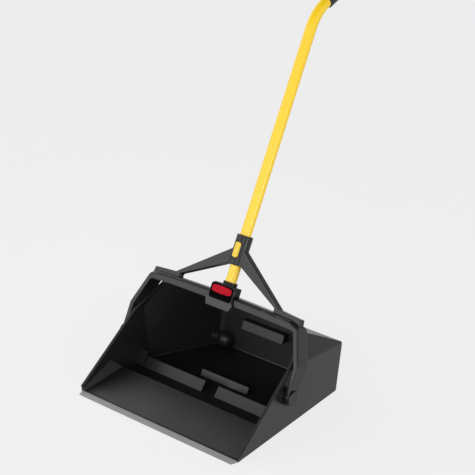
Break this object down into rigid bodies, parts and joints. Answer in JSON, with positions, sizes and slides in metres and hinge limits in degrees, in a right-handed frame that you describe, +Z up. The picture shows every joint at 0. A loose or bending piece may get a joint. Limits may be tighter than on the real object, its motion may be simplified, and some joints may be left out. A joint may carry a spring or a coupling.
{
  "type": "dustpan",
  "caption": "Upright dustpan with a deep hooded pan, a soft front lip, rear rollers and a long bent handle on a swinging yoke with a latch button.",
  "frame": {"origin": "on the floor under the pan, on its middle plane, 250 mm behind the side walls' front tips", "axes": "+Z up, -Y towards the mouth, +X to the right of someone who looks at the back of the pan from the mouth"},
  "size_m": [0.5206, 0.7178, 0.9061],
  "materials": {
    "pan_plastic": "moulded black, satin inside and fine grained outside",
    "yoke_plastic": "moulded black, fine grained",
    "cover_plastic": "moulded dark grey",
    "blade_rubber": "grey soft lip",
    "tube_paint": "yellow powder coat",
    "button_plastic": "yellow, glossy",
    "badge_plate": "plain red panel in a black surround",
    "grip_rubber": "black soft grip",
    "wheel_plastic": "dark grey",
    "bush_nylon": "natural nylon",
    "steel": "zinc plated",
    "brass": "turned"
  },
  "bodies": {
    "pan": {"pan_body": "pan_plastic", "front_blade": "blade_rubber", "pivot_pin_left": "steel", "pivot_pin_right": "steel", "pivot_insert_left": "brass", "pivot_insert_right": "brass", "rear_axle_left": "steel", "rear_axle_right": "steel"},
    "yoke": {"yoke": "yoke_plastic", "pivot_bush_left": "bush_nylon", "pivot_bush_right": "bush_nylon", "pivot_cap_left": "yoke_plastic", "pivot_cap_right": "yoke_plastic", "handle_brace": "yoke_plastic", "brace_screws": "steel", "socket_block": "yoke_plastic", "socket_screws": "steel", "front_cover": "cover_plastic", "cover_screws": "steel", "badge": "badge_plate", "tube_screw": "steel", "handle_tube": "tube_paint", "handle_grip": "grip_rubber", "button_spring": "steel"},
    "release_button": {"release_button": "button_plastic"},
    "rear_wheel_left": {"rear_wheel_left": "wheel_plastic"},
    "rear_wheel_right": {"rear_wheel_right": "wheel_plastic"}
  },
  "joints": [
    {"name": "yoke_pivot", "type": "hinge", "parent": "pan", "child": "yoke", "pos_m": [0, -0.0815, 0.09], "axis": [1, 0, 0], "range_deg": [0, 100]},
    {"name": "button_rock", "type": "hinge", "parent": "yoke", "child": "release_button", "pos_m": [0, 0.0346, 0.33811], "axis": [-1, 0, 0], "range_deg": [0, 4.5], "stiffness_Nm_per_rad": 0.6, "springref_deg": -3.44, "deforming": ["button_spring"]},
    {"name": "left_wheel_spin", "type": "hinge", "parent": "pan", "child": "rear_wheel_left", "pos_m": [-0.192, 0.13, 0.026], "axis": [1, 0, 0], "continuous": true},
    {"name": "right_wheel_spin", "type": "hinge", "parent": "pan", "child": "rear_wheel_right", "pos_m": [0.192, 0.13, 0.026], "axis": [1, 0, 0], "continuous": true}
  ]
}
